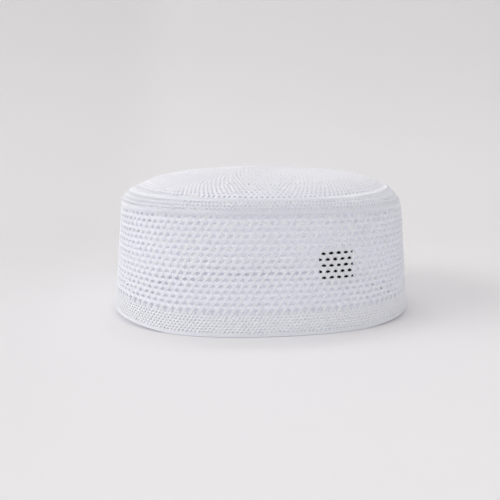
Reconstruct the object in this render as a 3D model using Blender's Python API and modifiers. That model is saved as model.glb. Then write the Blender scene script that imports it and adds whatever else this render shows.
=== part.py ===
"""Prayer cap: a white knitted cap, oval from above, with a net wall and a low domed crown.

The long way of the cap is X and its front is -Y. The origin is the middle of the rim, on the floor.
Sizes are in millimetres and are turned into metres where points are made.
"""

import bpy
import bmesh
import numpy as np

MM = 0.001
SEAM_GAP = 0.3
# The gap where the rounded shoulder meets the crown, and a short first ring that keeps both edges square
SHOULDER_GAP = 0.5
EDGE_RING = 0.6

# The cap's outer surface from the rim to the top of the crown. Each section is a superellipse.
SECTION_COLUMNS = ("height", "half_length", "half_width", "squareness")
SECTIONS = (
    (0.0, 100.2, 80.2, 2.38),
    (35.0, 96.8, 77.5, 2.38),
    (70.0, 93.5, 74.8, 2.38),
    (73.2, 93.0, 74.5, 2.38),
    (76.2, 91.4, 73.8, 2.33),
    (79.4, 87.7, 72.1, 2.22),
    (82.0, 82.2, 69.4, 2.08),
    (84.5, 77.0, 65.4, 2.05),
    (87.0, 69.9, 59.3, 2.05),
    (89.1, 58.6, 49.7, 2.05),
    (90.8, 44.4, 37.7, 2.05),
    (92.2, 26.4, 22.4, 2.05),
    (93.0, 0.0, 0.0, 2.05),
)

# The crown leans forward: its front sits lower than its back, by this much for each millimetre of depth.
CROWN_LEAN = 0.045
LEAN_FROM_HEIGHT = 70.0
LEAN_FULL_HEIGHT = 80.0
# The shoulder also stands this much higher at the +X end than at the -X end.
RIGHT_END_RISE = 2.6

KNIT_THICKNESS = 1.8
HEM_TOP = 4.0
LOWER_BAND_TOP = 14.3
WALL_TOP = 70.0
RIB_BAND_TOP = 80.6
CROWN_LAST_RING = 7.0

# The hem's section, as distance in from the outer surface and height
HEM_COLUMNS = ("inset", "height")
HEM_PROFILE = (
    (0.5, 0.0),
    (-0.2, 0.8),
    (-0.3, 2.4),
    (0.0, 3.5),
    (0.7, HEM_TOP),
    (1.7, HEM_TOP),
    (2.3, 3.2),
    (2.3, 0.8),
    (1.9, 0.0),
)

# Each eyelet here stands for a block of four by four of the real cap's small ones.
EYELETS_AROUND = 30
EYELET_ROWS = 4
EYELET_WIDTH = 12.0
EYELET_HEIGHT = 7.4
EYELET_SIDE_HEIGHT = 2.4
STRAND_HEIGHT = 4.0
WALL_GIRTH = 565.0

LABEL_MIDDLE_X = 34.8
LABEL_WIDTH = 24.0
LABEL_BOTTOM = 30.8
LABEL_TOP = 49.2
LABEL_THICKNESS = 1.0
LABEL_GAP = 0.4
LABEL_COLUMNS = 8
LABEL_ROWS = 2

TURNS = 72
CROWN_RINGS = 6

KNIT_WHITE = (0.80, 0.81, 0.86, 1.0)
LABEL_BLACK = (0.008, 0.008, 0.012, 1.0)


def column(table, names, name):
    """One named column of a table, as an array."""
    return np.array([row[names.index(name)] for row in table])


def smooth_curve(at, knots, values):
    """A curve through the values that keeps rising or falling wherever they do (monotone cubic)."""
    step = np.diff(knots)
    rise = np.diff(values) / step
    slope = np.zeros(len(knots))
    both = rise[:-1] * rise[1:]
    mean = 2.0 * both / np.where(both > 0.0, rise[:-1] + rise[1:], 1.0)
    slope[1:-1] = np.where(both > 0.0, mean, 0.0)
    slope[0] = rise[0]
    slope[-1] = rise[-1]
    at = np.clip(at, knots[0], knots[-1])
    k = np.clip(np.searchsorted(knots, at, side="right") - 1, 0, len(step) - 1)
    t = (at - knots[k]) / step[k]
    return (
        values[k] * (1.0 + 2.0 * t) * (1.0 - t) ** 2
        + slope[k] * step[k] * t * (1.0 - t) ** 2
        + values[k + 1] * t ** 2 * (3.0 - 2.0 * t)
        + slope[k + 1] * step[k] * t ** 2 * (t - 1.0)
    )


HEIGHTS = column(SECTIONS, SECTION_COLUMNS, "height")
HALF_LENGTHS = column(SECTIONS, SECTION_COLUMNS, "half_length")
HALF_WIDTHS = column(SECTIONS, SECTION_COLUMNS, "half_width")
SQUARENESS = column(SECTIONS, SECTION_COLUMNS, "squareness")
# Distance along the outer surface, from the rim up the front to the top
STATIONS = np.concatenate([[0.0], np.cumsum(np.hypot(np.diff(HEIGHTS), np.diff(HALF_WIDTHS)))])


def station_at(height):
    """How far along the surface the given height lies."""
    fine = np.linspace(0.0, STATIONS[-1], 2000)
    return np.interp(height, smooth_curve(fine, STATIONS, HEIGHTS), fine)


def polar_angle(turn):
    """Angle at a share of the rim's length, from the -X end by way of the front, so columns are even."""
    angle = np.linspace(-np.pi, np.pi, 4001)
    reach = superellipse(angle, HALF_LENGTHS[0], HALF_WIDTHS[0], SQUARENESS[0])
    x, y = reach * np.cos(angle), reach * np.sin(angle)
    length = np.concatenate([[0.0], np.cumsum(np.hypot(np.diff(x), np.diff(y)))])
    return np.interp(np.asarray(turn) % 1.0, length / length[-1], angle)


def superellipse(angle, half_length, half_width, squareness):
    """Distance from the middle: (|cos a / A|^n + |sin a / B|^n) ^ (-1/n)."""
    along = np.abs(np.cos(angle)) ** squareness
    across = np.abs(np.sin(angle)) ** squareness
    # Written so that a section shrunk to a point still works
    ratio = half_length / np.maximum(half_width, 1e-9)
    return half_length * (along + across * ratio ** squareness) ** (-1.0 / squareness)


def outer_surface(turn, station):
    """Points of the cap's outer surface, in millimetres."""
    angle = polar_angle(turn)
    reach = superellipse(
        angle,
        smooth_curve(station, STATIONS, HALF_LENGTHS),
        smooth_curve(station, STATIONS, HALF_WIDTHS),
        smooth_curve(station, STATIONS, SQUARENESS),
    )
    x = reach * np.cos(angle)
    y = reach * np.sin(angle)
    z = smooth_curve(station, STATIONS, HEIGHTS)
    lean = np.clip((z - LEAN_FROM_HEIGHT) / (LEAN_FULL_HEIGHT - LEAN_FROM_HEIGHT), 0.0, 1.0)
    rise = CROWN_LEAN * y + RIGHT_END_RISE * (np.maximum(x, 0.0) / HALF_LENGTHS[0]) ** 2
    return np.stack([x, y, z + lean * rise], axis=-1)


def level_normal(turn):
    """Outward direction of the rim's outline, in the level plane."""
    step = 1e-4
    ahead = outer_surface(turn + step, np.zeros_like(turn)) - outer_surface(turn - step, np.zeros_like(turn))
    out = np.stack([ahead[..., 1], -ahead[..., 0], np.zeros_like(turn)], axis=-1)
    return out / np.linalg.norm(out, axis=-1, keepdims=True)


def loft(name, points, material, around=True, closed_section=False, is_open=None, top=None):
    """A mesh object through points[ring, turn]; is_open(ring, turn) leaves a face out."""
    rings, turns = points.shape[:2]
    bm = bmesh.new()
    verts = [[bm.verts.new(point * MM) for point in ring] for ring in points]
    ring_count = rings if closed_section else rings - 1
    turn_count = turns if around else turns - 1
    for r in range(ring_count):
        for t in range(turn_count):
            if is_open is not None and is_open(r, t):
                continue
            upper = (r + 1) % rings
            beside = (t + 1) % turns
            bm.faces.new((verts[r][t], verts[r][beside], verts[upper][beside], verts[upper][t]))
    if top is not None:
        peak = bm.verts.new(top * MM)
        for t in range(turns):
            bm.faces.new((verts[-1][t], verts[-1][(t + 1) % turns], peak))
    loose = [v for v in bm.verts if not v.link_faces]
    bmesh.ops.delete(bm, geom=loose, context="VERTS")
    mesh = bpy.data.meshes.new(name)
    bm.to_mesh(mesh)
    bm.free()
    mesh.shade_smooth()
    mesh.materials.append(material)
    obj = bpy.data.objects.new(name, mesh)
    cap_parts.objects.link(obj)
    return obj


def thicken(obj, thickness):
    """Gives an open surface its wall, inwards from the outer face."""
    wall = obj.modifiers.new("knit thickness", "SOLIDIFY")
    wall.thickness = thickness * MM
    wall.offset = -1.0
    wall.use_even_offset = True


def knit_material(name, colour, roughness):
    """Matt knitted yarn."""
    material = bpy.data.materials.new(name)
    material.use_nodes = True
    shader = material.node_tree.nodes["Principled BSDF"]
    shader.inputs["Base Color"].default_value = colour
    shader.inputs["Roughness"].default_value = roughness
    shader.inputs["Metallic"].default_value = 0.0
    return material


def surface_grid(turn, stations):
    """Outer surface points for every station and turn."""
    t, s = np.meshgrid(turn, stations)
    return outer_surface(t, s)


def build_hem():
    """A thick turned edge swept round the rim, with a flat underside."""
    turn = np.arange(TURNS) / TURNS
    inset = column(HEM_PROFILE, HEM_COLUMNS, "inset")
    height = column(HEM_PROFILE, HEM_COLUMNS, "height")
    rim = outer_surface(turn, np.zeros_like(turn))
    points = rim[None, :, :] - inset[:, None, None] * level_normal(turn)[None, :, :]
    points[..., 2] = height[:, None]
    loft("hem", points, knit_material("hem knit", KNIT_WHITE, 0.75), closed_section=True)


def build_band(name, bottom, top, rings):
    """A plain band of the cap's surface between two heights."""
    stations = np.linspace(station_at(bottom), station_at(top), rings + 1)
    if top == RIB_BAND_TOP:
        stations = np.insert(stations, rings, stations[-1] - EDGE_RING)
    points = surface_grid(np.arange(TURNS) / TURNS, stations)
    band = loft(name, points, knit_material(name + " knit", KNIT_WHITE, 0.75))
    thicken(band, KNIT_THICKNESS)


def build_mesh_wall():
    """The net wall: rings of vertices four to an eyelet, with staggered six-sided cells left open."""
    pitch = 1.0 / EYELETS_AROUND
    half = 0.5 * EYELET_WIDTH / WALL_GIRTH
    edge_columns = pitch * np.array([-0.25, 0.0, 0.25, 0.5])
    # Places of the four columns, and how far each opens above and below the row's middle
    even_columns = np.array([-half, 0.0, half, 0.5 * pitch])
    even_opening = 0.5 * np.array([EYELET_SIDE_HEIGHT, EYELET_HEIGHT, EYELET_SIDE_HEIGHT, STRAND_HEIGHT])
    odd_columns = np.array([half - 0.5 * pitch, 0.0, 0.5 * pitch - half, 0.5 * pitch])
    odd_opening = 0.5 * np.array([EYELET_SIDE_HEIGHT, STRAND_HEIGHT, EYELET_SIDE_HEIGHT, EYELET_HEIGHT])
    bottom = LOWER_BAND_TOP + SEAM_GAP
    row_height = (WALL_TOP - bottom) / EYELET_ROWS
    rings = [(edge_columns, np.full(4, bottom))]
    for row in range(EYELET_ROWS):
        middle = bottom + (row + 0.5) * row_height
        columns, opening = (odd_columns, odd_opening) if row % 2 else (even_columns, even_opening)
        rings.append((columns, middle - opening))
        rings.append((columns, middle + opening))
    rings.append((edge_columns, np.full(4, WALL_TOP)))
    start = np.arange(EYELETS_AROUND)[:, None] * pitch
    points = np.array([
        outer_surface((start + columns).ravel(), np.tile(station_at(heights), EYELETS_AROUND))
        for columns, heights in rings
    ])

    def is_open(ring, column_index):
        if ring % 2 == 0:
            return False
        row = ring // 2
        return (column_index % 4 >= 2) == (row % 2 == 1)

    wall = loft("mesh_wall", points, knit_material("mesh wall knit", KNIT_WHITE, 0.7), is_open=is_open)
    thicken(wall, KNIT_THICKNESS)


def build_crown():
    """The dome: rings that close in to a small one, then a fan to the top."""
    first = station_at(RIB_BAND_TOP) + SHOULDER_GAP
    last = STATIONS[-1] - CROWN_LAST_RING
    stations = np.insert(np.linspace(first, last, CROWN_RINGS), 1, first + EDGE_RING)
    points = surface_grid(np.arange(TURNS) / TURNS, stations)
    top = np.array([0.0, 0.0, HEIGHTS[-1]])
    crown = loft("crown", points, knit_material("crown knit", KNIT_WHITE, 0.75), top=top)
    thicken(crown, KNIT_THICKNESS)


def build_inner_label():
    """A plain patch that follows the inside of the wall."""
    turns = np.linspace(0.0, 0.5, 2001)
    mid_station = station_at(0.5 * (LABEL_BOTTOM + LABEL_TOP))
    across = outer_surface(turns, np.full_like(turns, mid_station))[:, 0]
    ends = np.array([LABEL_MIDDLE_X - 0.5 * LABEL_WIDTH, LABEL_MIDDLE_X + 0.5 * LABEL_WIDTH])
    left, right = np.interp(ends, across, turns)
    turn = np.linspace(left, right, LABEL_COLUMNS + 1)
    stations = np.linspace(station_at(LABEL_BOTTOM), station_at(LABEL_TOP), LABEL_ROWS + 1)
    points = surface_grid(turn, stations)
    inward = KNIT_THICKNESS + LABEL_GAP
    points = points - inward * level_normal(np.broadcast_to(turn, points.shape[:2]))
    label = loft("inner_label", points, knit_material("label cloth", LABEL_BLACK, 0.9), around=False)
    thicken(label, LABEL_THICKNESS)


for old in list(bpy.data.objects):
    bpy.data.objects.remove(old, do_unlink=True)

cap_parts = bpy.data.collections.new("prayer cap")
bpy.context.scene.collection.children.link(cap_parts)

build_hem()
build_band("lower_band", HEM_TOP + SEAM_GAP, LOWER_BAND_TOP, 1)
build_mesh_wall()
build_band("rib_band", WALL_TOP + SEAM_GAP, RIB_BAND_TOP, 4)
build_crown()
build_inner_label()
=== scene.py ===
"""Looks of a white knitted prayer cap: net wall, ribbed shoulder, domed crown, lower band, hem and label.

The knitted pieces are real yarns. Each piece of knitting is two sets of strands that lean opposite ways,
cross in the posts between the eyelets, and leave an open eye between them. The strands lie just under the
cap's outer sheet, which is the surface that the solids follow, settled a little as soft cloth settles.
A place on the sheet is a turn, which is the share of the rim's length from the -X end by way of the front,
and a station, which is the distance up the sheet from the rim. Sizes are in millimetres up to the mesh.
"""

import math

import bpy
import numpy as np
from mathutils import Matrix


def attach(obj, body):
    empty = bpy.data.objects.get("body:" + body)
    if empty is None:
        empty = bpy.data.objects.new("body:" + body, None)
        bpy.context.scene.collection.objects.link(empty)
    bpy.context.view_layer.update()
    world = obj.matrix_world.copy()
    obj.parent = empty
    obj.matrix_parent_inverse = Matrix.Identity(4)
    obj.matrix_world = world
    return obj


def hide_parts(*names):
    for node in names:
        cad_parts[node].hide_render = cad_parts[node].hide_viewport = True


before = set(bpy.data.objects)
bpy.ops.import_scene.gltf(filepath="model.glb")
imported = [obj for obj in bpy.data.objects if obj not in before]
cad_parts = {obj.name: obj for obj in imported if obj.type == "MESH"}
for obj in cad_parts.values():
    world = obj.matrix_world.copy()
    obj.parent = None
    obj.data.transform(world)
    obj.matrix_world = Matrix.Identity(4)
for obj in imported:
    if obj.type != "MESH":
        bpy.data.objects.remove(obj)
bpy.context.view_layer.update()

MM = 0.001

# The cap's outer sheet from rim to top, each section a superellipse, as in the solids
SECTION_COLUMNS = ("height", "half_length", "half_width", "squareness")
SECTIONS = (
    (0.0, 100.2, 80.2, 2.38),
    (35.0, 96.8, 77.5, 2.38),
    (70.0, 93.5, 74.8, 2.38),
    (73.2, 93.0, 74.5, 2.38),
    (76.2, 91.4, 73.8, 2.33),
    (79.4, 87.7, 72.1, 2.22),
    (82.0, 82.2, 69.4, 2.08),
    (84.5, 77.0, 65.4, 2.05),
    (87.0, 69.9, 59.3, 2.05),
    (89.1, 58.6, 49.7, 2.05),
    (90.8, 44.4, 37.7, 2.05),
    (92.2, 26.4, 22.4, 2.05),
    (93.0, 0.0, 0.0, 2.05),
)
# The crown is lower at the front by a share of the depth, and rises at the right end. Both start at one
# height and are complete at another.
CROWN_LEAN = 0.045
LEAN_FROM_HEIGHT = 70.0
LEAN_FULL_HEIGHT = 80.0
RIGHT_END_RISE = 2.6
# The sheet comes to a point at the top, so nearer to it than this the normal stays the same
NORMAL_STOPS_BELOW_TOP = 2.0
# Points along the curves that are measured: the rim's table, the rim's length and the front half
RIM_TABLE_POINTS = 4001
RIM_LENGTH_POINTS = 721
FRONT_POINTS = 1001

# How the soft cap lies. The ends of the rim lift: the side of X, the lift, and the length from the middle at
# which it starts. It fades out by a height. The right shoulder is drawn in around one height.
RIM_LIFTS = (
    (-1.0, 3.0, 58.0),
    (1.0, 1.8, 50.0),
)
RIM_LIFT_FADES_BY = 58.0
SHOULDER_DRAW = 2.8
SHOULDER_MIDDLE = 77.5
SHOULDER_SPREAD = 7.5

# Uneven stretch of the knitting, as waves: size, how often it goes round, how much its phase changes with
# each millimetre of station, and its phase at the start
SIDEWAYS_WAVES = (
    (0.08, 37.0, 0.31, 0.0),
    (0.10, 23.0, -0.17, 1.7),
    (0.08, 59.0, 0.9, 0.6),
)
UPWARD_WAVES = (
    (0.08, 19.0, 0.23, 2.1),
    (0.07, 41.0, -0.47, 0.4),
)
SLOW_WAVE = (0.14, 3.0, 0.045, 1.3)
# The sag at the right end: how far, the station that it grows to, where it fades and over what distance
NET_SAG = 0.5
SAG_GROWS_TO = 66.0
SAG_FADES_FROM = 70.0
SAG_FADES_OVER = 8.0

# The net: how many eyelets go round, where the first sits, and the stations of its rounds
EYELETS_AROUND = 120
EYELET_PHASE = 0.75
NET_LOWEST = 15.0
NET_HIGHEST = 68.0
NET_ROUNDS = 16

# Fine rounds at twice the net's count: the groove and lower band, and the ribs of the shoulder
FINE_AROUND = 240
LOWER_ROUNDS = (2.9, 4.5, 6.1, 7.7, 9.4, 11.2, 13.0)
RIB_ROUNDS = (74.2, 76.8, 79.4)

# Plain stripes of upright stitches: how many go round, where the first stands, each stripe's foot and top
PLAIN_AROUND = 480
PLAIN_PHASE = 0.25
STRIPE_UNDER_RIBS = (69.3, 73.0)
STRIPE_OVER_RIBS = (80.6, 82.9)

# Stations of the yarns that run once round the cap
RIB_RINGS = (72.95, 75.5, 78.1, 80.7)
CROWN_EDGE_RING = 83.4

# The crown works inwards in zones of fewer and fewer eyelets: eyelets round, and rounds of them
CROWN_ZONE_COLUMNS = ("eyelets", "rounds")
CROWN_ZONES = (
    (160, 7),
    (132, 5),
    (108, 4),
    (84, 4),
    (64, 3),
    (48, 3),
    (32, 2),
    (16, 2),
)
CROWN_START = 82.9
CROWN_CLOSE_RADIUS = 6.0

# The close disc in the middle of the crown, with the shares of its radius from edge to centre
DISC_POINTS_ROUND = 72
DISC_RADIUS_SHARES = (1.0, 0.97, 0.8, 0.6, 0.4, 0.2, 0.02)
DISC_OVERLAP = 1.5
DISC_DEPTH = 0.1
DISC_EDGE_DIP = 0.5
DISC_EDGE_POWER = 6
DISC_THICKNESS = 1.2

# The hem's section, from the bottom edge up its outer face and down its inner face
HEM_COLUMNS = ("inset", "height", "relief")
HEM_PROFILE = (
    (1.1, 0.0, 0.0),
    (0.55, 0.1, 0.0),
    (0.12, 0.38, 0.5),
    (0.0, 0.72, 1.0),
    (0.0, 1.0, 1.0),
    (0.0, 1.3, 1.0),
    (0.0, 1.6, 1.0),
    (0.02, 1.9, 1.0),
    (0.06, 2.2, 0.8),
    (0.2, 2.55, 0.4),
    (0.6, 2.85, 0.0),
    (1.7, 2.95, 0.0),
    (2.05, 2.5, 0.0),
    (2.4, 1.2, 0.0),
    (3.1, 0.35, 0.0),
    (3.8, 0.0, 0.0),
)
HEM_STITCHES = 240
HEM_POINTS_PER_STITCH = 6
HEM_STITCH_HEIGHT = 1.3
HEM_STITCH_DEPTH = 0.28
HEM_STITCH_SLANT = 1.2

# The label, between two places along the length and two heights. Slant is its true width over that in X.
LABEL_LEFT = 25.0
LABEL_RIGHT = 46.5
LABEL_FOOT = 30.8
LABEL_HEAD = 49.2
LABEL_DEPTH = 2.4
LABEL_THICKNESS = 0.45
LABEL_POINTS_ACROSS = 33
LABEL_POINTS_UP = 25
LABEL_THREADS_PER_POINT = 1.5

# White nylon. A yarn's colour lies between a low share of it and the whole. It starts from a middle value and
# goes up and down with clouds, its own uneven tone, and with plies, painted shade in the grooves between
# them. Plies and fibres also raise its surface.
YARN_COLOUR = (0.87, 0.874, 0.946)
# The crown and the lower band: the same white nylon painted lighter, as painted light
CROWN_PAINTED_LIGHTER = (0.9, 0.884, 1.0)
BAND_PAINTED_LIGHTER = (0.918, 0.92, 0.985)
# The hem: the same white nylon painted darker, as painted shade
HEM_PAINTED_DARKER = (0.80, 0.804, 0.86)
YARN_LOW_SHARE = 0.84
HEM_LOW_SHARE = 0.93
YARN_MIDDLE = 0.55
YARN_CLOUD_SHADE = 0.25
YARN_PLY_PAINTED_SHADE = 0.4
YARN_PLY_HEIGHT = 0.5
YARN_FIBRE_HEIGHT = 0.6
FIBRES_PER_METRE = 2500.0
NYLON_SUBSURFACE = 1.0
NYLON_SUBSURFACE_DEPTH = 0.0004
# How far the twist of the plies turns in one step along a strand
PLY_TURNS_PER_STEP = 0.5

# Black tape: its threads, and the gaps between them painted darker as shade
LABEL_GAP_PAINTED_SHADE = (0.004, 0.004, 0.007)
LABEL_THREAD_COLOUR = (0.012, 0.012, 0.017)

# Paper, and the painted shade on it where the lamps' light falls off: axis, where the shade starts and ends
# in metres, and the share of light left there
PAPER_COLOUR = (0.823, 0.808, 0.815)
BLACK = (0.0, 0.0, 0.0)
PAPER_CLOUD_SHADE = 0.03
PAPER_PAINTED_SHADE = (
    (0, -0.05, -0.2, 0.95),
    (1, -0.15, 0.35, 0.955),
    (2, 0.0, 0.35, 0.95),
)

# The sheet of paper, in millimetres, with a level part, a bend and an upright part
PAPER_POINTS_ACROSS = 9
PAPER_BEND_POINTS = 17
PAPER_HALF_SIZE = 2500.0
PAPER_LEVEL_TO = -500.0
PAPER_BEND_START = 300.0
PAPER_BEND_RADIUS = 700.0
PAPER_TOP = 2500.0

# Soft square lamps: name, place, side length in metres, watts. They face one point in the cap.
STUDIO_LAMPS = (
    ("left", (-8.0, -1.6, 4.6), 4.8, 275.0),
    ("front", (0.4, -8.0, 3.6), 4.8, 165.0),
    ("left_behind", (-7.6, 2.0, 4.4), 4.8, 113.0),
    ("behind", (0.0, 1.8, 2.8), 2.4, 78.0),
    ("above", (-1.5, -1.0, 7.0), 5.0, 30.0),
)
LAMP_TARGET = (0.0, 0.0, 0.05)
# Light inside the hollow: name, place, width and length in metres, watts, colour, half turns about X
GLOW_LAMPS = (
    ("glow_up", (0.0, 0.0, 0.0002), (0.188, 0.15), 0.0225, (0.93, 0.95, 1.0), 1.0),
    ("glow_down", (0.0, 0.0, 0.056), (0.16, 0.13), 0.0172, (0.86, 0.89, 1.0), 0.0),
    ("glow_right", (0.062, 0.015, 0.0004), (0.065, 0.1), 0.0064, (0.93, 0.95, 1.0), 1.0),
    ("glow_left", (-0.064, 0.0, 0.0004), (0.058, 0.1), 0.0085, (0.93, 0.95, 1.0), 1.0),
)
SKY_STRENGTH = 0.50

# The camera: distance from the cap's middle, height, lens and sensor in millimetres, and the clip in metres.
# In radians, it stands round to the left by the turn, looks to the right by the aim, and down by the pitch.
CAMERA_DISTANCE = 378.2
CAMERA_HEIGHT = 107.0
CAMERA_TURN = 0.1285
CAMERA_AIM = 0.1091
CAMERA_PITCH = 0.1868
CAMERA_LENS = 39.49
CAMERA_SENSOR = 36.0
CAMERA_CLIP_END = 20.0


def column(table, names, name):
    """One named column of a table, as an array."""
    return np.array([row[names.index(name)] for row in table])


def smooth_curve(at, knots, values):
    """Monotone cubic: a Hermite cubic between knots whose slope is the harmonic mean of its neighbours."""
    step = np.diff(knots)
    rise = np.diff(values) / step
    slope = np.zeros(len(knots))
    both = rise[:-1] * rise[1:]
    mean = 2.0 * both / np.where(both > 0.0, rise[:-1] + rise[1:], 1.0)
    slope[1:-1] = np.where(both > 0.0, mean, 0.0)
    slope[0] = rise[0]
    slope[-1] = rise[-1]
    at = np.clip(at, knots[0], knots[-1])
    k = np.clip(np.searchsorted(knots, at, side="right") - 1, 0, len(step) - 1)
    t = (at - knots[k]) / step[k]
    return (
        values[k] * (1.0 + 2.0 * t) * (1.0 - t) ** 2
        + slope[k] * step[k] * t * (1.0 - t) ** 2
        + values[k + 1] * t ** 2 * (3.0 - 2.0 * t)
        + slope[k + 1] * step[k] * t ** 2 * (t - 1.0)
    )


def ease(share):
    """Smooth step: 3 t^2 - 2 t^3 of the share kept between 0 and 1."""
    t = np.clip(share, 0.0, 1.0)
    return t * t * (3.0 - 2.0 * t)


def unit(v):
    """Each vector over its own length."""
    return v / np.maximum(np.linalg.norm(v, axis=-1, keepdims=True), 1e-12)


def superellipse(angle, half_length, half_width, squareness):
    """Distance from the middle: (|cos a / A|^n + |sin a / B|^n) ^ (-1/n)."""
    along = np.abs(np.cos(angle)) ** squareness
    across = np.abs(np.sin(angle)) ** squareness
    ratio = half_length / np.maximum(half_width, 1e-9)
    return half_length * (along + across * ratio ** squareness) ** (-1.0 / squareness)


HEIGHTS = column(SECTIONS, SECTION_COLUMNS, "height")
HALF_LENGTHS = column(SECTIONS, SECTION_COLUMNS, "half_length")
HALF_WIDTHS = column(SECTIONS, SECTION_COLUMNS, "half_width")
SQUARENESS = column(SECTIONS, SECTION_COLUMNS, "squareness")
# Stations are measured up the front's middle line
STATIONS = np.concatenate([[0.0], np.cumsum(np.hypot(np.diff(HEIGHTS), np.diff(HALF_WIDTHS)))])
TOP_STATION = STATIONS[-1]


def rim_table():
    """Angle against the share of the rim's length, from the -X end by way of the front."""
    angle = np.linspace(-np.pi, np.pi, RIM_TABLE_POINTS)
    reach = superellipse(angle, HALF_LENGTHS[0], HALF_WIDTHS[0], SQUARENESS[0])
    x, y = reach * np.cos(angle), reach * np.sin(angle)
    length = np.concatenate([[0.0], np.cumsum(np.hypot(np.diff(x), np.diff(y)))])
    return length / length[-1], angle


RIM_SHARE, RIM_ANGLE = rim_table()


def settle(points):
    """How the cloth lies.

    Each end of the rim lifts by a smooth step of the length, times a smooth step down of the height. The
    right shoulder is drawn in by (x / L)^4 times exp(-(height from its middle / spread)^2).
    """
    x, y, z = points[..., 0], points[..., 1], points[..., 2]
    length = HALF_LENGTHS[0]
    raised = 0.0
    for side, lift, start in RIM_LIFTS:
        raised = raised + lift * ease((side * x - start) / (length - start))
    low = 1.0 - ease(z / RIM_LIFT_FADES_BY)
    shoulder = np.exp(-((z - SHOULDER_MIDDLE) / SHOULDER_SPREAD) ** 2)
    drawn = SHOULDER_DRAW * shoulder * (np.maximum(x, 0.0) / length) ** 4
    return np.stack([x - drawn, y, z + raised * low], axis=-1)


def outer_surface(turn, station):
    """The cap's outer sheet: a superellipse whose size, squareness and height are curves of the station.

    The crown's height gets lean * (CROWN_LEAN * y + RIGHT_END_RISE * (x / L)^2), the second term at the
    right only, and then the cloth settles.
    """
    angle = np.interp(turn % 1.0, RIM_SHARE, RIM_ANGLE)
    reach = superellipse(
        angle,
        smooth_curve(station, STATIONS, HALF_LENGTHS),
        smooth_curve(station, STATIONS, HALF_WIDTHS),
        smooth_curve(station, STATIONS, SQUARENESS),
    )
    x = reach * np.cos(angle)
    y = reach * np.sin(angle)
    z = smooth_curve(station, STATIONS, HEIGHTS)
    lean = np.clip((z - LEAN_FROM_HEIGHT) / (LEAN_FULL_HEIGHT - LEAN_FROM_HEIGHT), 0.0, 1.0)
    rise = CROWN_LEAN * y + RIGHT_END_RISE * (np.maximum(x, 0.0) / HALF_LENGTHS[0]) ** 2
    return settle(np.stack([x, y, z + lean * rise], axis=-1))


def outward(turn, station):
    """The sheet's normal: the cross product of its two slopes."""
    d_turn, d_station = 2e-4, 0.05
    station = np.clip(station, d_station, TOP_STATION - NORMAL_STOPS_BELOW_TOP)
    along = outer_surface(turn + d_turn, station) - outer_surface(turn - d_turn, station)
    up = outer_surface(turn, station + d_station) - outer_surface(turn, station - d_station)
    return unit(np.cross(along, up))


def level_outward(turn):
    """Outward direction of the rim's outline in the level plane, taken a millimetre up the sheet."""
    normal = outward(turn, np.full_like(turn, 1.0))
    normal[..., 2] = 0.0
    return unit(normal)


def rim_length():
    """The length once round the rim."""
    rim = outer_surface(np.linspace(0.0, 1.0, RIM_LENGTH_POINTS), np.zeros(RIM_LENGTH_POINTS))
    return float(np.sum(np.linalg.norm(np.diff(rim, axis=0), axis=1)))


RIM_LENGTH = rim_length()


def waves(table, around, station):
    """The sum of size * sin(often * a + change * s + start), with a the angle round and s the station."""
    total = 0.0
    for size, often, change, start in table:
        total = total + size * np.sin(often * around + change * station + start)
    return total


def wobble(turn, station):
    """Uneven stretch of the knitting, sideways and upwards in millimetres.

    Both are sums of waves. Upwards has a slow wave too, size * sin(often * a + start) * sin(change * s),
    and the sag takes from it NET_SAG times the square of (1 - cos a) / 2, which is 1 at the right end.
    The sag grows with the station and fades at the ribs.
    """
    around = 2.0 * np.pi * turn
    size, often, change, start = SLOW_WAVE
    slow = size * np.sin(often * around + start) * np.sin(change * station)
    to_the_right = (0.5 - 0.5 * np.cos(around)) ** 2
    grown = np.clip(station / SAG_GROWS_TO, 0.0, 1.0)
    fading = 1.0 - ease((station - SAG_FADES_FROM) / SAG_FADES_OVER)
    sag = NET_SAG * to_the_right * grown * fading
    return waves(SIDEWAYS_WAVES, around, station), waves(UPWARD_WAVES, around, station) + slow - sag


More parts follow.
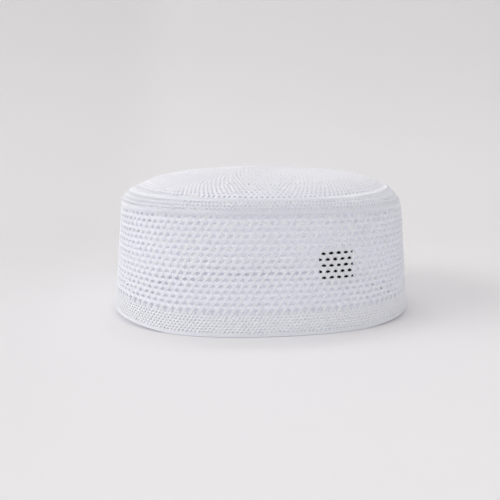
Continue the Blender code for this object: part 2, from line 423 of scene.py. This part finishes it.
def mesh_piece(name, points, material, around=True, closed_strip=False, capped=False, uv_scale=(1.0, 1.0)):
    """A mesh of quads through points[strip, along, across], in millimetres.

    The grid wraps across when around is set, and along when closed_strip is set. Its UV map runs along
    the strip in u and across it in v. A capped strip gets a face at each end.
    """
    strips, rows, cols = points.shape[:3]
    index = np.arange(strips * rows * cols).reshape(strips, rows, cols)
    row_ids = np.arange(rows if closed_strip else rows - 1)
    col_ids = np.arange(cols if around else cols - 1)
    r0, c0 = np.meshgrid(row_ids, col_ids, indexing="ij")
    r1, c1 = (r0 + 1) % rows, (c0 + 1) % cols
    quads = np.stack([index[:, r0, c0], index[:, r1, c0], index[:, r1, c1], index[:, r0, c1]], axis=-1)
    quads = quads.reshape(-1, 4)
    u = np.stack([r0, r0 + 1, r0 + 1, r0], axis=-1) * uv_scale[0]
    v = np.stack([c0, c0, c0 + 1, c0 + 1], axis=-1) * uv_scale[1]
    uv = np.broadcast_to(np.stack([u, v], axis=-1), (strips,) + u.shape + (2,)).reshape(-1, 2)
    corners = quads.ravel()
    starts = np.arange(len(quads)) * 4
    if capped:
        ends = np.concatenate([index[:, 0, :], index[:, -1, ::-1]])
        starts = np.concatenate([starts, len(corners) + np.arange(len(ends)) * cols])
        corners = np.concatenate([corners, ends.ravel()])
        uv = np.concatenate([uv, np.zeros((ends.size, 2))])
    mesh = bpy.data.meshes.new(name)
    mesh.vertices.add(points.size // 3)
    mesh.vertices.foreach_set("co", (points * MM).ravel())
    mesh.loops.add(len(corners))
    mesh.loops.foreach_set("vertex_index", corners)
    mesh.polygons.add(len(starts))
    mesh.polygons.foreach_set("loop_start", starts)
    mesh.update(calc_edges=True)
    layer = mesh.uv_layers.new(name="UVMap")
    layer.data.foreach_set("uv", uv.ravel())
    mesh.shade_smooth()
    mesh.materials.append(material)
    obj = bpy.data.objects.new(name, mesh)
    bpy.context.scene.collection.objects.link(obj)
    return obj


def stands_for(piece, node):
    """The piece belongs to the cap and replaces a solid."""
    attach(piece, "root")
    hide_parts(node)


class Value:
    """A shader socket, or a number, that can be used in arithmetic; each operator adds its Math node."""

    def __init__(self, tree, socket):
        self.tree = tree
        self.socket = socket

    def math(self, operation, *others):
        inputs = [self.socket] + [getattr(other, "socket", other) for other in others]
        return self.tree.node("ShaderNodeMath", {"operation": operation}, dict(enumerate(inputs)))

    def __add__(self, other):
        return self.math("ADD", other)

    def __sub__(self, other):
        return self.math("SUBTRACT", other)

    def __mul__(self, other):
        return self.math("MULTIPLY", other)

    def __rsub__(self, other):
        return Value(self.tree, other).math("SUBTRACT", self)

    __radd__ = __add__
    __rmul__ = __mul__


class Shader:
    """The nodes of one material."""

    def __init__(self, name):
        self.material = bpy.data.materials.new(name)
        self.material.use_nodes = True
        self.nodes = self.material.node_tree.nodes
        self.links = self.material.node_tree.links
        self.surface = self.nodes["Principled BSDF"]

    def connect(self, source, target):
        source = getattr(source, "socket", source)
        if isinstance(source, bpy.types.NodeSocket):
            self.links.new(source, target)
        else:
            target.default_value = source

    def node(self, kind, settings=None, inputs=None, output=0):
        """Adds a node: its settings first, then the values or links of its sockets."""
        node = self.nodes.new(kind)
        for key, value in (settings or {}).items():
            setattr(node, key, value)
        for key, value in (inputs or {}).items():
            self.connect(value, node.inputs[key])
        return Value(self, node.outputs[output])

    def place(self):
        """Where a point is on its object."""
        return self.node("ShaderNodeTexCoord", output=3)

    def noise(self, place, scale, detail):
        """Soft noise at a number of spots a metre."""
        return self.node("ShaderNodeTexNoise", inputs={"Vector": place, "Scale": scale, "Detail": detail})

    def coordinate(self, vector, axis):
        """One coordinate of a vector: axis 0, 1 or 2."""
        return self.node("ShaderNodeSeparateXYZ", inputs={"Vector": vector}, output=axis)

    def bump(self, height, strength, distance):
        """A normal tilted by a height."""
        inputs = {"Height": height, "Strength": strength, "Distance": distance}
        return self.node("ShaderNodeBump", inputs=inputs)

    def blend(self, share, low, high):
        """A colour on the way from low to high."""
        ends = {"Factor": share, 6: tuple(low) + (1.0,), 7: tuple(high) + (1.0,)}
        return self.node("ShaderNodeMix", {"data_type": "RGBA"}, ends, output=2)

    def finish(self, **sockets):
        """Sets or links the sockets of the surface, named with underscores for spaces."""
        for key, value in sockets.items():
            self.connect(value, self.surface.inputs[key.replace("_", " ")])
        return self.material

    def finish_nylon(self, colour, roughness, bump):
        """Finishes a matt white nylon, which lets a little light through."""
        return self.finish(
            Base_Color=colour,
            Roughness=roughness,
            Normal=bump,
            Subsurface_Weight=NYLON_SUBSURFACE,
            Subsurface_Radius=(1.0, 1.0, 1.0),
            Subsurface_Scale=NYLON_SUBSURFACE_DEPTH,
        )


def white_yarn(name, base):
    """Matt bluish white nylon: twisted plies in the bump and as painted shade in the grooves between them,
    fibres in the bump, slow random changes of tone.

    The plies are sin 2 pi (u + 2 v), so there are two of them, which wind round the strand.
    """
    shader = Shader(name)
    place = shader.place()
    clouds = shader.noise(place, scale=60.0, detail=3.0)
    fibre = shader.noise(place, scale=FIBRES_PER_METRE, detail=2.0)
    uv = shader.node("ShaderNodeUVMap")
    along = shader.coordinate(uv, 0)
    across = shader.coordinate(uv, 1)
    plies = ((along + across * 2.0) * (2.0 * math.pi)).math("SINE")
    height = plies * YARN_PLY_HEIGHT + fibre * YARN_FIBRE_HEIGHT
    bump = shader.bump(height, strength=0.8, distance=0.0002)
    # Clouds give uneven tone; the plies paint shade into the grooves between them
    light = clouds * YARN_CLOUD_SHADE + plies * YARN_PLY_PAINTED_SHADE + YARN_MIDDLE
    low = [YARN_LOW_SHARE * channel for channel in base]
    return shader.finish_nylon(shader.blend(light, low, base), fibre * 0.15 + 0.62, bump)


def hem_cloth():
    """Close white knit, its nylon painted darker than the yarn as painted shade: fine fibres in the bump and
    slow random changes of tone.
    """
    shader = Shader("close white knit")
    place = shader.place()
    clouds = shader.noise(place, scale=90.0, detail=3.0)
    fibre = shader.noise(place, scale=FIBRES_PER_METRE, detail=2.0)
    bump = shader.bump(fibre, strength=0.7, distance=0.0001)
    low = [HEM_LOW_SHARE * channel for channel in HEM_PAINTED_DARKER]
    return shader.finish_nylon(shader.blend(clouds, low, HEM_PAINTED_DARKER), fibre * 0.15 + 0.7, bump)


def label_cloth():
    """Bare black tape: fine plain weave in the bump, and painted shade in the gaps between the threads, which
    are a little darker than the threads.
    """
    shader = Shader("black woven tape")
    uv = shader.node("ShaderNodeUVMap")
    warp = (shader.coordinate(uv, 0) * (2.0 * math.pi)).math("SINE")
    weft = (shader.coordinate(uv, 1) * (2.0 * math.pi)).math("SINE")
    weave = warp * weft * 0.5 + 0.5
    bump = shader.bump(weave, strength=0.6, distance=0.0001)
    colour = shader.blend(weave, LABEL_GAP_PAINTED_SHADE, LABEL_THREAD_COLOUR)
    return shader.finish(Base_Color=colour, Roughness=weave * 0.15 + 0.75, Normal=bump)


def floor_material():
    """Pale seamless paper with faint fibres, and painted shade where the light falls off: darker behind the
    cap, to the left and up the backdrop.
    """
    shader = Shader("pale paper")
    place = shader.place()
    clouds = shader.noise(place, scale=4.0, detail=4.0)
    fibre = shader.noise(place, scale=900.0, detail=3.0)
    bump = shader.bump(fibre, strength=0.15, distance=0.0001)
    share = 1.0 - clouds * PAPER_CLOUD_SHADE
    # Painted shade: the paper darkens behind the cap, to its left and up the backdrop, as the light falls off
    for axis, start, end, share_left in PAPER_PAINTED_SHADE:
        span = {0: shader.coordinate(place, axis), 1: start, 2: end}
        ramp = shader.node("ShaderNodeMapRange", {"interpolation_type": "SMOOTHSTEP"}, span)
        share = share * (1.0 - ramp * (1.0 - share_left))
    colour = shader.blend(share, BLACK, PAPER_COLOUR)
    return shader.finish(Base_Color=colour, Roughness=fibre * 0.1 + 0.85, Normal=bump)


# Sections across a strand, as shares of its half width and half thickness
PAIR_OF_YARNS = (
    (1.0, -0.1),
    (0.55, 1.0),
    (0.0, 0.1),
    (-0.55, 1.0),
    (-1.0, -0.1),
    (-0.62, -0.8),
    (0.0, -0.5),
    (0.62, -0.8),
)
SINGLE_YARN = (
    (1.0, -0.1),
    (0.6, 0.85),
    (-0.6, 0.85),
    (-1.0, -0.1),
    (0.0, -1.0),
)


class Yarn:
    """How one set of strands runs.

    Sizes are in millimetres. The depths are those of its middle line under the outer sheet, in the posts
    beside the eyelets and midway between the rounds. Steps are counted for each round, or once round the
    cap for a ring. Sway, rush, lag and swell are shares and weave is a depth, as told in leaning_strands.
    """

    def __init__(
        self,
        width,
        thickness,
        depths,
        steps,
        section=SINGLE_YARN,
        sway=0.5,
        rush=0.8,
        lag=0.07,
        swell=0.14,
        weave=0.0,
    ):
        self.width = width
        self.thickness = thickness
        self.post_depth, self.middle_depth = depths
        self.steps = steps
        self.section = np.array(section)
        self.sway = sway
        self.rush = rush
        self.lag = lag
        self.swell = swell
        self.weave = weave


NET_FRONT = Yarn(2.25, 0.6, depths=(0.45, 0.4), steps=6, section=PAIR_OF_YARNS, swell=0.2, weave=0.15)
NET_BACK = Yarn(2.25, 0.6, depths=(0.6, 0.48), steps=6, section=PAIR_OF_YARNS, swell=0.2, weave=0.15)
FINE_FRONT = Yarn(1.15, 0.5, depths=(0.28, 0.34), steps=5)
FINE_BACK = Yarn(1.15, 0.5, depths=(0.6, 0.4), steps=5)
RIB_FRONT = Yarn(1.0, 0.55, depths=(0.28, 0.34), steps=6, swell=0.0)
RIB_BACK = Yarn(1.0, 0.55, depths=(0.5, 0.4), steps=6, swell=0.0)
CROWN_YARN = Yarn(1.74, 0.42, depths=(0.42, 0.42), steps=4, swell=-0.05, weave=0.07)
PLAIN_YARN = Yarn(1.06, 0.7, depths=(0.35, 0.35), steps=2)
RIB_RING_YARN = Yarn(0.85, 0.6, depths=(0.35, 0.35), steps=360)
EDGE_RING_YARN = Yarn(1.6, 0.6, depths=(0.85, 0.85), steps=360)
CROWN_RING_YARN = Yarn(1.1, 0.8, depths=(0.75, 0.75), steps=180)


def tubes(turn, station, depth, width, yarn):
    """Flattened tubes along paths on the sheet.

    At each point of a path a closed section stands across it: its wide axis is the path's direction
    crossed with the sheet's normal, and its narrow axis is that normal. Gives points[strip, along, across].
    """
    depth = np.broadcast_to(depth, turn.shape)[..., None]
    width = np.broadcast_to(width, turn.shape)[..., None, None]
    normal = outward(turn, station)
    centre = outer_surface(turn, station) - depth * normal
    direction = unit(np.gradient(centre, axis=1))
    side = unit(np.cross(direction, normal))
    wide = 0.5 * width * yarn.section[:, :1]
    narrow = 0.5 * yarn.thickness * yarn.section[:, 1:]
    return centre[..., None, :] + wide * side[..., None, :] + narrow * normal[..., None, :]


def leaning_strands(columns, rounds, phase, lean, yarn):
    """One set of strands through rounds of eyelets.

    A strand moves half a column for each round, lean +1 to the right or -1 to the left. With s the round
    and w = (sin 2 pi (s - lag) + sin 2 pi lag) / 2 pi, its column is lean / 2 * (s - sway * w) and its
    height is that of the round s + rush * w. So it runs upright in the posts beside the eyelets, at whole
    s, and leans between them. It is narrow in the posts and swells between the rounds. In the posts its
    depth changes by lean * weave * cos(pi s), so that the two sets take turns on top, round by round.
    """
    count = len(rounds)
    s = np.linspace(-0.5, count - 0.5, count * yarn.steps + 1)
    turns = 2.0 * np.pi * s
    lag = 2.0 * np.pi * yarn.lag
    wave = (np.sin(turns - lag) + math.sin(lag)) / (2.0 * np.pi)
    below = 2.0 * rounds[0] - rounds[1]
    above = 2.0 * rounds[-1] - rounds[-2]
    heights = np.concatenate([[below], rounds, [above]])
    station = np.interp(s + yarn.rush * wave, np.arange(-1, count + 1), heights)
    turn = (np.arange(columns)[:, None] + phase + 0.5 * lean * (s - yarn.sway * wave)) / columns
    station = np.broadcast_to(station, turn.shape)
    sideways, upwards = wobble(turn, station)
    post = 0.5 + 0.5 * np.cos(turns)
    over = lean * yarn.weave * np.cos(0.5 * turns)
    depth = yarn.middle_depth + (yarn.post_depth - yarn.middle_depth - over) * post
    width = yarn.width * (1.0 - yarn.swell * np.cos(turns))
    return tubes(turn + sideways / RIM_LENGTH, station + upwards, depth, width, yarn)


def upright_strands(columns, stripe, yarn):
    """Plain stitches that stand side by side from the foot of a stripe to its top."""
    station = np.linspace(stripe[0], stripe[1], yarn.steps + 1)
    turn = (np.arange(columns)[:, None] + PLAIN_PHASE) / columns
    turn, station = np.broadcast_arrays(turn, station)
    sideways, upwards = wobble(turn, station)
    return tubes(turn + sideways / RIM_LENGTH, station + upwards, yarn.post_depth, yarn.width, yarn)


def ring_yarns(stations, yarn):
    """Yarns that run once round the cap, one at each station.

    Each is worked out a step too long at both ends and then cut, so that its direction is right all round.
    """
    turn = (np.arange(yarn.steps + 2) - 1) / yarn.steps
    turn, station = np.broadcast_arrays(turn, np.array(stations)[:, None])
    upwards = wobble(turn, station)[1]
    return tubes(turn, station + upwards, yarn.post_depth, yarn.width, yarn)[:, 1:-1]


yarn_material = white_yarn("white nylon yarn", YARN_COLOUR)
# Copies of the yarn for the crown and the lower band, painted lighter as painted light
crown_painted_lighter_material = white_yarn("white crown yarn", CROWN_PAINTED_LIGHTER)
band_painted_lighter_material = white_yarn("white band yarn", BAND_PAINTED_LIGHTER)

# Parts of the knitting: the slot in the record, the solid that the part stands for, and its material
NET = ("net_knit", "mesh_wall", yarn_material)
LOWER_BAND = ("fine_knit", "lower_band", band_painted_lighter_material)
SHOULDER = ("fine_knit", "rib_band", yarn_material)
CROWN = ("crown_knit", "crown", crown_painted_lighter_material)


def add_strands(name, points, part, rings=False):
    """Makes one piece of strands, or of closed rings, and says what it stands for."""
    slot, node, material = part
    uv_scale = (PLY_TURNS_PER_STEP, 1.0 / points.shape[2])
    piece = mesh_piece(name, points, material, closed_strip=rings, capped=not rings, uv_scale=uv_scale)
    stands_for(piece, node)


def knit(name, columns, rounds, phase, front, back, part):
    """Knitting: a front set of strands that lean right and a back set that lean left."""
    for side, lean, yarn in (("right", 1, front), ("left", -1, back)):
        points = leaning_strands(columns, rounds, phase, lean, yarn)
        add_strands("%s_leaning_%s" % (name, side), points, part)


def knit_crown():
    """The crown: zones of strands in evenly spaced rounds, with a plain round where the count drops."""
    eyelets = column(CROWN_ZONES, CROWN_ZONE_COLUMNS, "eyelets")
    counts = column(CROWN_ZONES, CROWN_ZONE_COLUMNS, "rounds")
    pitch = (TOP_STATION - CROWN_CLOSE_RADIUS - CROWN_START) / counts.sum()
    ends = np.cumsum(counts)
    for zone, (columns, number) in enumerate(zip(eyelets, counts)):
        rounds = CROWN_START + pitch * (ends[zone] - number + 0.5 + np.arange(number))
        knit("crown_zone_%d" % (zone + 1), columns, rounds, 0.0, CROWN_YARN, CROWN_YARN, CROWN)
    rings = ring_yarns(CROWN_START + pitch * ends, CROWN_RING_YARN)
    add_strands("crown_plain_rounds", rings, CROWN, rings=True)


def closing_disc():
    """The middle of the crown: a disc with its underside, whose edge dips under the last round.

    It lies under the sheet by its depth, plus its dip times a power of the share of its radius.
    """
    turns = np.arange(DISC_POINTS_ROUND) / DISC_POINTS_ROUND
    share = np.array(DISC_RADIUS_SHARES)
    station = TOP_STATION - (CROWN_CLOSE_RADIUS + DISC_OVERLAP) * share
    upper = outer_surface(*np.meshgrid(turns, station))
    upper[..., 2] -= DISC_DEPTH + DISC_EDGE_DIP * share[:, None] ** DISC_EDGE_POWER
    lower = upper[::-1].copy()
    lower[..., 2] -= DISC_THICKNESS
    points = np.concatenate([upper, lower])[None]
    piece = mesh_piece("crown_middle", points, crown_painted_lighter_material, closed_strip=True)
    stands_for(piece, "crown")


def hem():
    """The turned edge: its section swept round the rim, with rows of small V stitches in its outer face.

    With x the place round the rim in stitches, f the distance of x from the middle of its stitch and y the
    height in stitches, the face dips by the stitch depth times (1 - cos 2 pi (y - slant * f)) / 2, and by
    less where the section's relief is less than 1.
    """
    steps = HEM_POINTS_PER_STITCH * HEM_STITCHES
    turn = np.arange(steps) / steps
    inset = column(HEM_PROFILE, HEM_COLUMNS, "inset")
    height = column(HEM_PROFILE, HEM_COLUMNS, "height")
    relief = column(HEM_PROFILE, HEM_COLUMNS, "relief")
    from_middle = np.abs((HEM_STITCHES * turn) % 1.0 - 0.5)[:, None]
    phase = height / HEM_STITCH_HEIGHT - HEM_STITCH_SLANT * from_middle
    inset = inset + HEM_STITCH_DEPTH * relief * (0.5 - 0.5 * np.cos(2.0 * np.pi * phase))
    turns, station = np.broadcast_arrays(turn[:, None], height)
    points = outer_surface(turns, station) - inset[..., None] * level_outward(turns)
    piece = mesh_piece("hem_edge", points[None], hem_cloth(), closed_strip=True)
    stands_for(piece, "hem")


def front_lengths(station):
    """Along the front half at one station: the length coordinate x, and the turn it is at."""
    turn = np.linspace(0.0, 0.5, FRONT_POINTS)
    return outer_surface(turn, np.full_like(turn, station))[:, 0], turn


def inner_label():
    """The label: a thin rectangle of tape stretched flat behind the net, parallel to the outer sheet.

    Its points sit at even steps of length and height, a fixed depth under the sheet. The second half of
    the section runs back down the inner face, so the tape has a thickness.
    """
    length = np.linspace(LABEL_LEFT, LABEL_RIGHT, LABEL_POINTS_ACROSS)
    turn = np.interp(length, *front_lengths(0.5 * (LABEL_FOOT + LABEL_HEAD)))
    height = np.linspace(LABEL_FOOT, LABEL_HEAD, LABEL_POINTS_UP)
    turns, stations = np.meshgrid(turn, height, indexing="ij")
    normal = outward(turns, stations)
    face = outer_surface(turns, stations) - LABEL_DEPTH * normal
    back = (face - LABEL_THICKNESS * normal)[:, ::-1]
    points = np.concatenate([face, back], axis=1)[None]
    threads = (LABEL_THREADS_PER_POINT, LABEL_THREADS_PER_POINT)
    piece = mesh_piece("label_tape", points, label_cloth(), capped=True, uv_scale=threads)
    stands_for(piece, "inner_label")


def seamless_floor():
    """Floor and backdrop in one sheet: level, then a quarter circle, then upright."""
    x = np.linspace(-PAPER_HALF_SIZE, PAPER_HALF_SIZE, PAPER_POINTS_ACROSS)
    bend = np.linspace(0.0, 0.5 * np.pi, PAPER_BEND_POINTS)
    level = [-PAPER_HALF_SIZE, PAPER_LEVEL_TO]
    upright = [PAPER_BEND_START + PAPER_BEND_RADIUS]
    y = np.concatenate([level, PAPER_BEND_START + PAPER_BEND_RADIUS * np.sin(bend), upright])
    z = np.concatenate([[0.0, 0.0], PAPER_BEND_RADIUS * (1.0 - np.cos(bend)), [PAPER_TOP]])
    points = np.stack(np.broadcast_arrays(x[None, :], y[:, None], z[:, None]), axis=-1)
    stage = mesh_piece("floor", points[None], floor_material(), around=False)


def camera():
    """The photo's view: a little above the rim of the crown, looking slightly down."""
    data = bpy.data.cameras.new("camera")
    data.lens = CAMERA_LENS
    data.sensor_width = CAMERA_SENSOR
    data.clip_end = CAMERA_CLIP_END
    view = bpy.data.objects.new("camera", data)
    view.location = (
        -CAMERA_DISTANCE * math.sin(CAMERA_TURN) * MM,
        -CAMERA_DISTANCE * math.cos(CAMERA_TURN) * MM,
        CAMERA_HEIGHT * MM,
    )
    view.rotation_euler = (0.5 * math.pi - CAMERA_PITCH, 0.0, -CAMERA_AIM)
    bpy.context.scene.collection.objects.link(view)
    bpy.context.scene.camera = view


def area_lamp(name, place, shape, watts, rotation):
    """Adds an area lamp."""
    data = bpy.data.lights.new(name, "AREA")
    data.shape = shape
    data.energy = watts
    lamp = bpy.data.objects.new(name, data)
    lamp.location = place
    lamp.rotation_euler = rotation
    bpy.context.scene.collection.objects.link(lamp)
    return lamp


def studio_lamp(name, place, size, watts):
    """A soft square light that faces the cap."""
    back = np.array(place) - np.array(LAMP_TARGET)
    tilt = math.atan2(math.hypot(back[0], back[1]), back[2])
    heading = math.atan2(back[0], -back[1])
    lamp = area_lamp(name, place, "SQUARE", watts, (tilt, 0.0, heading))
    lamp.data.size = size


def inner_glow(name, place, size, watts, colour, half_turns):
    """Light that thin white nylon lets through: an oval lamp inside the hollow, itself unseen."""
    lamp = area_lamp(name, place, "ELLIPSE", watts, (half_turns * math.pi, 0.0, 0.0))
    lamp.data.size, lamp.data.size_y = size
    lamp.data.color = colour
    lamp.visible_camera = False


def sky():
    """Even pale light from all round."""
    world = bpy.data.worlds.new("studio")
    world.use_nodes = True
    background = world.node_tree.nodes["Background"]
    background.inputs["Color"].default_value = (1.0, 1.0, 1.0, 1.0)
    background.inputs["Strength"].default_value = SKY_STRENGTH
    bpy.context.scene.world = world


net_rounds = np.linspace(NET_LOWEST, NET_HIGHEST, NET_ROUNDS)
knit("net", EYELETS_AROUND, net_rounds, EYELET_PHASE, NET_FRONT, NET_BACK, NET)
knit("lower_band", FINE_AROUND, LOWER_ROUNDS, 0.0, FINE_FRONT, FINE_BACK, LOWER_BAND)
knit("ribs", FINE_AROUND, RIB_ROUNDS, 0.0, RIB_FRONT, RIB_BACK, SHOULDER)
add_strands("stripe_under_ribs", upright_strands(PLAIN_AROUND, STRIPE_UNDER_RIBS, PLAIN_YARN), SHOULDER)
add_strands("stripe_over_ribs", upright_strands(PLAIN_AROUND, STRIPE_OVER_RIBS, PLAIN_YARN), SHOULDER)
add_strands("rib_yarns", ring_yarns(RIB_RINGS, RIB_RING_YARN), SHOULDER, rings=True)
add_strands("crown_edge_yarn", ring_yarns([CROWN_EDGE_RING], EDGE_RING_YARN), SHOULDER, rings=True)
knit_crown()
closing_disc()
hem()
inner_label()
seamless_floor()
camera()
for lamp in STUDIO_LAMPS:
    studio_lamp(*lamp)
for lamp in GLOW_LAMPS:
    inner_glow(*lamp)
sky()
bpy.context.scene.view_settings.view_transform = "Standard"
bpy.context.scene.view_settings.look = "None"
